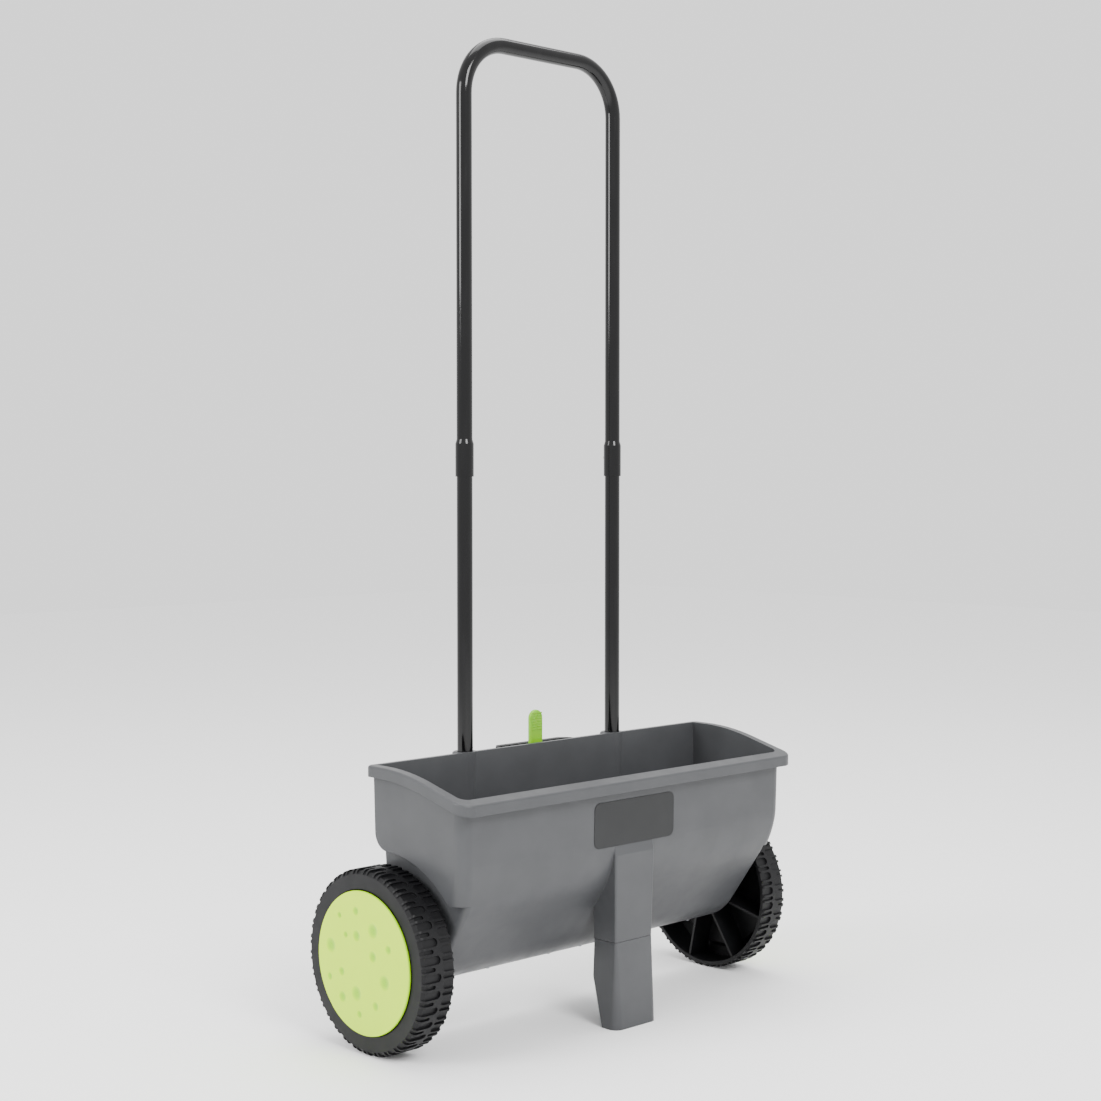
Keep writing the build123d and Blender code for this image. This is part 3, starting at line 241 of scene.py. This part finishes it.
@dataclass(frozen=True)
class MouldedPlastic:
    """Injection-moulded plastic with a mould grain, slight mottling and paler edges that are
    partly wear and partly painted highlight.

    A face_x_mm above nought paints shade into what lies up to hollow_mm below that face,
    deepening its colour there.
    """

    name: str
    colour: str
    mottle_colour: str
    edge_wear_highlight_colour: str
    roughness: float = 0.45
    roughness_spread: float = 0.10
    grain_mm: float = 0.9
    grain_depth_mm: float = 0.03
    mottle_mm: float = 45.0
    edge_mm: float = 0.7
    edge_strength: float = 0.35
    ior: float = 1.49
    subsurface: float = 0.0
    subsurface_mm: float = 3.0
    specular: float = 0.5
    coat: float = 0.0
    face_x_mm: float = 0.0
    hollow_mm: float = 1.1
    dimple_shade_colour: str = "#000000"

    def painted_dimple_shade(self, tree: bpy.types.NodeTree, place: Socket) -> Socket:
        """Mask of painted shade: depth below a face that stands at face_x_mm on either side,
        from nought to one.

        Args:
            tree: Node tree to add to.
            place: Coordinates in metres.

        Returns:
            The mask's value.
        """
        split = add_node(tree, "ShaderNodeSeparateXYZ", {"Vector": place})
        reach = add_node(
            tree, "ShaderNodeMath", {0: split.outputs["X"]}, operation="ABSOLUTE"
        ).outputs[0]
        face = self.face_x_mm * MM
        return remap(tree, reach, (face, face - self.hollow_mm * MM), (0.0, 1.0))

    def material(self) -> bpy.types.Material:
        """Build the material.

        Returns:
            The finished node material.
        """
        material, tree = new_material(self.name)
        place = add_node(tree, "ShaderNodeTexCoord").outputs["Object"]
        mottle = remap(tree, noise_value(tree, place, self.mottle_mm, 4.0), MOTTLE_SPAN, (0, 1))
        base = blend_colours(tree, mottle, linear(self.colour), linear(self.mottle_colour))
        normal, edges = edge_mask(tree, self.edge_mm)
        # Paler edges: partly wear broken up by a rub noise, partly a painted highlight along
        # edges and shoulders
        rub = remap(tree, noise_value(tree, place, RUB_MM, 3.0), RUB_SPAN, (0.35, 1.0))
        edge_wear_and_highlight = add_node(tree, "ShaderNodeMath", {0: edges, 1: rub}, operation="MULTIPLY")
        edge_wear_highlight_amount = add_node(
            tree,
            "ShaderNodeMath",
            {0: edge_wear_and_highlight.outputs[0], 1: self.edge_strength},
            operation="MULTIPLY",
        )
        colour = blend_colours(tree, edge_wear_highlight_amount.outputs[0], base, linear(self.edge_wear_highlight_colour))
        # Painted shade: what lies below the cap face, in the dimples, is tinted a deeper green
        if self.face_x_mm:
            colour = blend_colours(
                tree, self.painted_dimple_shade(tree, place), colour, linear(self.dimple_shade_colour)
            )
        sheen = noise_value(tree, place, SHEEN_MM, 4.0)
        half = self.roughness_spread / 2
        roughness = remap(
            tree, sheen, SHEEN_SPAN, (self.roughness - half, self.roughness + half)
        )
        grain = noise_value(tree, place, self.grain_mm, 2.0)
        bump = add_node(
            tree,
            "ShaderNodeBump",
            {"Height": grain, "Normal": normal, "Distance": self.grain_depth_mm * MM},
        )
        shader = add_node(
            tree,
            "ShaderNodeBsdfPrincipled",
            {
                "Base Color": colour,
                "Roughness": roughness,
                "Normal": bump.outputs["Normal"],
                "IOR": self.ior,
                "Coat Weight": self.coat,
                "Coat Roughness": COAT_ROUGHNESS,
                "Subsurface Weight": self.subsurface,
                "Subsurface Scale": self.subsurface_mm * MM,
                "Specular IOR Level": self.specular,
            },
        )
        show_shader(tree, shader)
        return material


@dataclass(frozen=True)
class TubeEnamel:
    """Stoved gloss enamel on steel tube: dark and smooth, with a faint orange peel."""

    name: str = "stoved_gloss_enamel"
    colour: str = "#050506"
    dusty_colour: str = "#0A0A0B"
    roughness: float = 0.1
    peel_mm: float = 6.0
    peel_depth_mm: float = 0.006
    ior: float = 1.52
    specular: float = 0.3

    def material(self) -> bpy.types.Material:
        """Build the material.

        Returns:
            The finished node material.
        """
        material, tree = new_material(self.name)
        place = add_node(tree, "ShaderNodeTexCoord").outputs["Object"]
        stretched = add_node(
            tree, "ShaderNodeMapping", {"Vector": place, "Scale": ALONG_TUBE}
        ).outputs["Vector"]
        smears = noise_value(tree, stretched, HANDLING_MM, 5.0)
        handling = remap(tree, smears, HANDLING_SPAN, (0.0, 1.0))
        colour = blend_colours(tree, handling, linear(self.colour), linear(self.dusty_colour))
        roughness = remap(
            tree, handling, (0.0, 1.0), (self.roughness, self.roughness + ENAMEL_SPREAD)
        )
        peel = noise_value(tree, place, self.peel_mm, 1.0)
        bump = add_node(
            tree, "ShaderNodeBump", {"Height": peel, "Distance": self.peel_depth_mm * MM}
        )
        shader = add_node(
            tree,
            "ShaderNodeBsdfPrincipled",
            {
                "Base Color": colour,
                "Roughness": roughness,
                "Normal": bump.outputs["Normal"],
                "IOR": self.ior,
                "Specular IOR Level": self.specular,
            },
        )
        show_shader(tree, shader)
        return material


class Grain(Enum):
    """Ways in which a bare metal surface was made."""

    DRAWN = "drawn"
    SPANGLED = "spangled"
    PLATED = "plated"


@dataclass(frozen=True)
class BareMetal:
    """Bare or plated steel, with the marks that its making leaves."""

    name: str
    colour: str
    second_colour: str
    grain: Grain
    roughness: float = 0.32
    feature_mm: float = 5.0

    def pattern(self, tree: bpy.types.NodeTree, place: Socket) -> Socket:
        """Marks of the making, from nought to one.

        Args:
            tree: Node tree to add to.
            place: Coordinates in metres.

        Returns:
            The pattern's value.
        """
        if self.grain is Grain.SPANGLED:
            cells = add_node(
                tree,
                "ShaderNodeTexVoronoi",
                {"Vector": place, "Scale": per_metre(self.feature_mm)},
            )
            split = add_node(tree, "ShaderNodeSeparateColor", {0: cells.outputs["Color"]})
            return split.outputs[0]
        if self.grain is Grain.DRAWN:
            place = add_node(
                tree, "ShaderNodeMapping", {"Vector": place, "Scale": ALONG_BAR}
            ).outputs["Vector"]
        return remap(
            tree, noise_value(tree, place, self.feature_mm, 3.0), SHEEN_SPAN, (0.0, 1.0)
        )

    def material(self) -> bpy.types.Material:
        """Build the material.

        Returns:
            The finished node material.
        """
        material, tree = new_material(self.name)
        place = add_node(tree, "ShaderNodeTexCoord").outputs["Object"]
        marks = self.pattern(tree, place)
        colour = blend_colours(tree, marks, linear(self.colour), linear(self.second_colour))
        roughness = remap(
            tree, marks, (0.0, 1.0), (self.roughness - 0.07, self.roughness + 0.1)
        )
        rounded, _ = edge_mask(tree, METAL_EDGE_MM)
        bump = add_node(
            tree,
            "ShaderNodeBump",
            {"Height": marks, "Normal": rounded, "Distance": METAL_MARK_MM * MM},
        )
        shader = add_node(
            tree,
            "ShaderNodeBsdfPrincipled",
            {
                "Base Color": colour,
                "Metallic": 1.0,
                "Roughness": roughness,
                "Normal": bump.outputs["Normal"],
            },
        )
        show_shader(tree, shader)
        return material


# Tinted polypropylene: soft satin sheen, fine spark-eroded grain, barely cloudy colour
HOPPER_PLASTIC = MouldedPlastic(
    "grey_polypropylene", "#3D3E40", "#414244", "#6A6B6E", roughness=0.4, specular=0.35
)
# Hard black polypropylene: satin, a little dusty, with paler edges on the tread that are partly
# rubbed wear and partly a painted highlight on its shoulders
WHEEL_PLASTIC = MouldedPlastic(
    "black_wheel_plastic",
    "#08080A",
    "#0C0C0E",
    "#242326",
    roughness=0.5,
    specular=0.25,
    grain_mm=0.8,
    edge_mm=0.5,
    edge_strength=0.6,
)
# Lime polypropylene: smooth from a polished mould, with painted shade deepening the green in
# its dimples
CAP_PLASTIC = MouldedPlastic(
    "lime_cap_plastic",
    "#BCE400",
    "#C0E608",
    "#CDEC38",
    specular=0.2,
    roughness=0.36,
    grain_mm=0.7,
    grain_depth_mm=0.008,
    edge_strength=0.25,
    face_x_mm=293.3,
    # Colour of the painted shade in the dimples
    dimple_shade_colour="#8FC800",
)
# Lime nylon: smooth and a little translucent, deeper green than the wheel caps
LEVER_PLASTIC = MouldedPlastic(
    "lime_lever_nylon",
    "#74B400",
    "#7AB804",
    "#93C530",
    specular=0.35,
    roughness=0.3,
    grain_mm=0.7,
    grain_depth_mm=0.008,
    subsurface=0.4,
    coat=0.2,
)
# Black polypropylene with a fine grain, for the guide, rails, plate and agitator
BLACK_PLASTIC = MouldedPlastic(
    "black_polypropylene", "#08080A", "#0C0C0E", "#242326", roughness=0.48, specular=0.25
)
# Turned nylon: off-white, waxy, with soft shine
BUSH_NYLON = MouldedPlastic(
    "natural_nylon",
    "#D6D3C6",
    "#CFCBBC",
    "#E6E4DA",
    roughness=0.4,
    subsurface=0.3,
    grain_depth_mm=0.01,
)
TUBE_ENAMEL = TubeEnamel()
# Bright drawn bar: fine streaks along its length
AXLE_STEEL = BareMetal("drawn_bright_steel", "#B4B5B7", "#9A9B9E", Grain.DRAWN, 0.28, 0.6)
# Hot-dip galvanised sheet: crystal spangle a few millimetres across
SHUTTER_STEEL = BareMetal("galvanised_sheet", "#AEB2B5", "#8F9498", Grain.SPANGLED, 0.38, 5.0)
# Blued spring strip: dark straw-grey, even
SPRING_STEEL = BareMetal("blued_spring_steel", "#55565C", "#6A6660", Grain.PLATED, 0.34, 8.0)
# Bright zinc plate with a faint warm and cool drift
FASTENER_STEEL = BareMetal("zinc_plated_steel", "#C2C3C0", "#AEB1B8", Grain.PLATED, 0.3, 4.0)
# Nickel-plated button: brighter and smoother than the screws
BUTTON_STEEL = BareMetal("nickel_plated_steel", "#C8C6C2", "#B9B7B2", Grain.PLATED, 0.18, 3.0)

SLOT_FINISHES: dict[str, Any] = {
    "hopper_plastic": HOPPER_PLASTIC,
    "wheel_plastic": WHEEL_PLASTIC,
    "cap_plastic": CAP_PLASTIC,
    "lever_plastic": LEVER_PLASTIC,
    "black_plastic": BLACK_PLASTIC,
    "bush_nylon": BUSH_NYLON,
    "tube_enamel": TUBE_ENAMEL,
    "axle_steel": AXLE_STEEL,
    "shutter_steel": SHUTTER_STEEL,
    "spring_steel": SPRING_STEEL,
    "plated_fasteners": FASTENER_STEEL,
    "button_steel": BUTTON_STEEL,
}


def dress_nodes() -> dict[str, bpy.types.Material]:
    """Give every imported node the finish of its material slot.

    Returns:
        The materials by slot name.
    """
    materials = {slot: finish.material() for slot, finish in SLOT_FINISHES.items()}
    for part in frame["record"]["subparts"]:
        node = frame["nodes"][part["node"]]
        node.data.materials.clear()
        node.data.materials.append(materials[part["material_slot"]])
        log.info("%s gets %s", part["node"], part["material_slot"])
    return materials


def piece_from(
    mesh: bmesh.types.BMesh, name: str, material: bpy.types.Material
) -> bpy.types.Object:
    """Turn a finished bmesh into an object with one material.

    Args:
        mesh: The bmesh, which is freed.
        name: Name of the object.
        material: Its finish.

    Returns:
        The new object, linked to the scene at the origin.
    """
    bmesh.ops.recalc_face_normals(mesh, faces=mesh.faces[:])
    data = bpy.data.meshes.new(name)
    mesh.to_mesh(data)
    mesh.free()
    data.materials.append(material)
    piece = bpy.data.objects.new(name, data)
    bpy.context.scene.collection.objects.link(piece)
    return piece


def rounded_plate(
    width: float, height: float, corner: float, thickness: float
) -> bmesh.types.BMesh:
    """Flat plate with round corners in the XZ plane, its front towards -Y.

    Args:
        width: Size along X.
        height: Size along Z.
        corner: Radius of its corners.
        thickness: Size along Y, from the plane forwards.

    Returns:
        The plate as a bmesh.
    """
    mesh = bmesh.new()
    bmesh.ops.create_grid(mesh, x_segments=1, y_segments=1, size=0.5)
    bmesh.ops.scale(mesh, vec=Vector((width, height, 1.0)), verts=mesh.verts[:])
    bmesh.ops.bevel(
        mesh,
        geom=mesh.verts[:],
        offset=corner,
        offset_type="OFFSET",
        affect="VERTICES",
        segments=10,
        profile=0.5,
        material=-1,
    )
    face = mesh.faces[:]
    raised = bmesh.ops.extrude_face_region(mesh, geom=face)
    moved = [item for item in raised["geom"] if isinstance(item, bmesh.types.BMVert)]
    bmesh.ops.translate(mesh, vec=Vector((0.0, 0.0, thickness)), verts=moved)
    turn = Matrix.Rotation(math.radians(90), 4, "X")
    bmesh.ops.transform(mesh, matrix=turn, verts=mesh.verts[:])
    return mesh


@dataclass
class FrontLabel:
    """Plain charcoal label on the hopper's front wall, bare of words."""

    width: float = 128 * MM
    height: float = 51 * MM
    corner: float = 8 * MM
    thickness: float = 0.5 * MM
    middle_z: float = 232.5 * MM
    wall_y: float = -103.42 * MM
    lean_deg: float = 1.12
    finish: MouldedPlastic = MouldedPlastic(
        "charcoal_vinyl",
        "#18191A",
        "#1B1C1D",
        "#303134",
        specular=0.3,
        roughness=0.34,
        grain_mm=1.4,
        grain_depth_mm=0.006,
        edge_strength=0.2,
    )
    def placed(self, mesh: bmesh.types.BMesh) -> bmesh.types.BMesh:
        """Move a plate from the origin to its place on the leaning wall.

        Args:
            mesh: Plate around the origin.

        Returns:
            The same bmesh.
        """
        lean = Matrix.Rotation(math.radians(self.lean_deg), 4, "X")
        shift = Matrix.Translation(Vector((0.0, self.wall_y, self.middle_z)))
        bmesh.ops.transform(mesh, matrix=shift @ lean, verts=mesh.verts[:])
        return mesh

    def build(self) -> None:
        """Add the label, riding on the hopper."""
        plate = rounded_plate(self.width, self.height, self.corner, self.thickness)
        label = piece_from(
            self.placed(plate), "front_label", self.finish.material()
        )
        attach(label, "frame")
        log.info("front label built")


@dataclass
class Studio:
    """Pale floor, soft lights and the camera of the photograph."""

    lens_mm: float = 62.93
    location: tuple[float, float, float] = (-1.5497, -1.5861, 0.6257)
    forward: tuple[float, float, float] = (0.6908, 0.7218, -0.0424)
    floor_size: float = 12.0
    floor_colour: str = "#FFFFFF"
    world_colour: str = "#FFFFFF"
    world_strength: float = 1.45

    def camera(self) -> None:
        """Create the camera and make it the scene's own."""
        data = bpy.data.cameras.new("photo_camera")
        data.sensor_width = 36.0
        data.lens = self.lens_mm
        camera = bpy.data.objects.new("photo_camera", data)
        camera.location = self.location
        camera.rotation_euler = Vector(self.forward).to_track_quat("-Z", "Y").to_euler()
        bpy.context.scene.collection.objects.link(camera)
        bpy.context.scene.camera = camera

    def floor(self) -> None:
        """Lay a plain pale floor."""
        mesh = bmesh.new()
        bmesh.ops.create_grid(mesh, x_segments=1, y_segments=1, size=self.floor_size / 2)
        material, tree = new_material("painted_studio_floor")
        shader = add_node(
            tree,
            "ShaderNodeBsdfPrincipled",
            {"Base Color": linear(self.floor_colour), "Roughness": 0.75},
        )
        show_shader(tree, shader)
        piece_from(mesh, "studio_floor", material)

    def lamp(
        self,
        name: str,
        place: Sequence[float],
        target: Sequence[float],
        size: float,
        power: float,
    ) -> None:
        """Add one square soft light.

        Args:
            name: Name of the light.
            place: Where it stands.
            target: Point that it faces.
            size: Length of its side.
            power: Watts.
        """
        data = bpy.data.lights.new(name, "AREA")
        data.size = size
        data.energy = power
        light = bpy.data.objects.new(name, data)
        light.location = place
        away = Vector(target) - Vector(place)
        light.rotation_euler = away.to_track_quat("-Z", "Y").to_euler()
        bpy.context.scene.collection.objects.link(light)

    def world(self) -> None:
        """Fill the surroundings with plain white light."""
        world = bpy.data.worlds.new("studio_world")
        world.use_nodes = True
        tree = world.node_tree
        tree.nodes.clear()
        colour = linear(self.world_colour)
        background = add_node(
            tree,
            "ShaderNodeBackground",
            {"Color": colour, "Strength": self.world_strength},
        )
        add_node(tree, "ShaderNodeOutputWorld", {"Surface": background.outputs[0]})
        bpy.context.scene.world = world

    def build(self) -> None:
        """Set up the whole studio."""
        self.camera()
        self.floor()
        self.world()
        middle = (0.0, 0.0, 0.3)
        self.lamp("key_light", (-0.6, -2.6, 2.4), middle, 1.2, 95.0)
        self.lamp("side_light", (-2.6, 0.6, 1.6), middle, 1.2, 60.0)
        self.lamp("top_light", (0.4, 0.2, 3.0), middle, 2.0, 60.0)


def main() -> None:
    """Build the looks in order."""
    logging.basicConfig(level=logging.INFO)
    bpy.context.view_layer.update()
    dress_nodes()
    FrontLabel().build()
    Studio().build()


if __name__ == "__main__":
    main()
